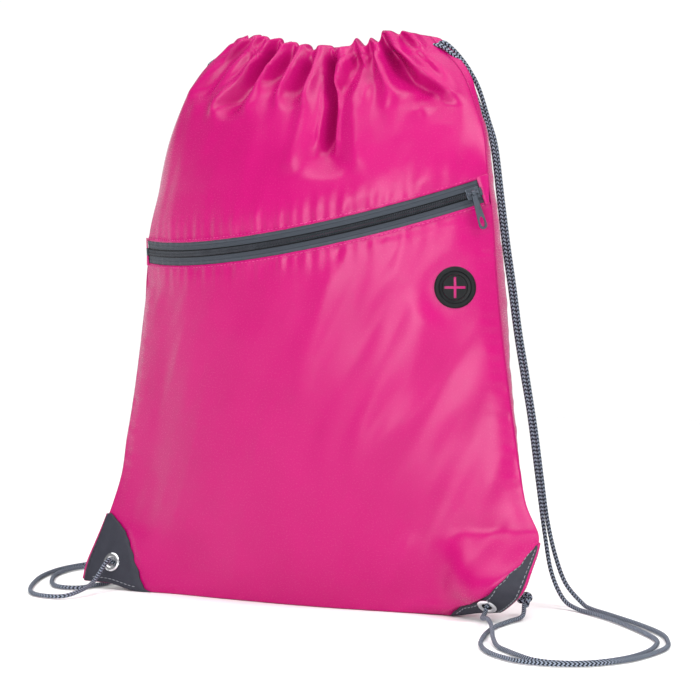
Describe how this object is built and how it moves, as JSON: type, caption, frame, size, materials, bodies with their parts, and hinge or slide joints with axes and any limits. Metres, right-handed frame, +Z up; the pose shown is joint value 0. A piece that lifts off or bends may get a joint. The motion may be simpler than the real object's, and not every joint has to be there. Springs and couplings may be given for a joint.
{
  "type": "drawstring backpack",
  "caption": "Soft flat drawstring backpack standing on its bottom seam, with a curved zip pocket, earphone port, eyed corner patches and braided cord straps.",
  "frame": {"origin": "centre of the bag's box, without its free cords, on the surface it stands on", "axes": "+Z up through the gathered mouth, -Y out of the zipped front, +X to the right as the front is looked at"},
  "size_m": [0.5538, 0.2812, 0.3916],
  "materials": {
    "pink_fabric": "satin woven polyester",
    "tape_grey": "matte twill tape",
    "coil_black": "satin nylon coil",
    "patch_charcoal": "matte coated cloth",
    "rubber_black": "matte soft rubber",
    "slate_metal": "satin painted die cast",
    "nickel": "bright plated",
    "cord_grey": "herringbone braid"
  },
  "bodies": {
    "bag": {"back_panel": "pink_fabric", "bottom_seam": "pink_fabric", "channel_back": "pink_fabric", "channel_front": "pink_fabric", "cord_left_front": "cord_grey", "cord_left_rear": "cord_grey", "cord_right_front": "cord_grey", "cord_right_rear": "cord_grey", "cord_tunnel_left": "cord_grey", "cord_tunnel_right": "cord_grey", "eyelet_left": "nickel", "eyelet_right": "nickel", "eyelet_washer_left": "nickel", "eyelet_washer_right": "nickel", "front_upper_panel": "pink_fabric", "knot_left": "cord_grey", "knot_right": "cord_grey", "patch_left_back": "patch_charcoal", "patch_left_front": "patch_charcoal", "patch_right_back": "patch_charcoal", "patch_right_front": "patch_charcoal", "pocket_front_panel": "pink_fabric", "pocket_lining": "pink_fabric", "port_back_ring": "rubber_black", "port_grommet": "rubber_black", "port_membrane": "rubber_black", "side_seam_left": "pink_fabric", "side_seam_right": "pink_fabric", "zip_coil_lower": "coil_black", "zip_coil_upper": "coil_black", "zip_stop_left": "slate_metal", "zip_stop_right": "slate_metal", "zip_tape_lower": "tape_grey", "zip_tape_upper": "tape_grey"},
    "slider": {"zip_slider": "slate_metal"},
    "puller": {"zip_puller": "slate_metal"}
  },
  "joints": [
    {"name": "zip_travel", "type": "hinge", "parent": "bag", "child": "slider", "pos_m": [-0.01157, 0.13921, 0.30388], "axis": [0.1563, 0.2708, -0.9499], "range_deg": [0, 76]},
    {"name": "puller_swing", "type": "hinge", "parent": "slider", "child": "puller", "pos_m": [0.12702, -0.02033, 0.28264], "axis": [-0.7406, -0.6042, -0.2941], "range_deg": [0, 165]}
  ]
}
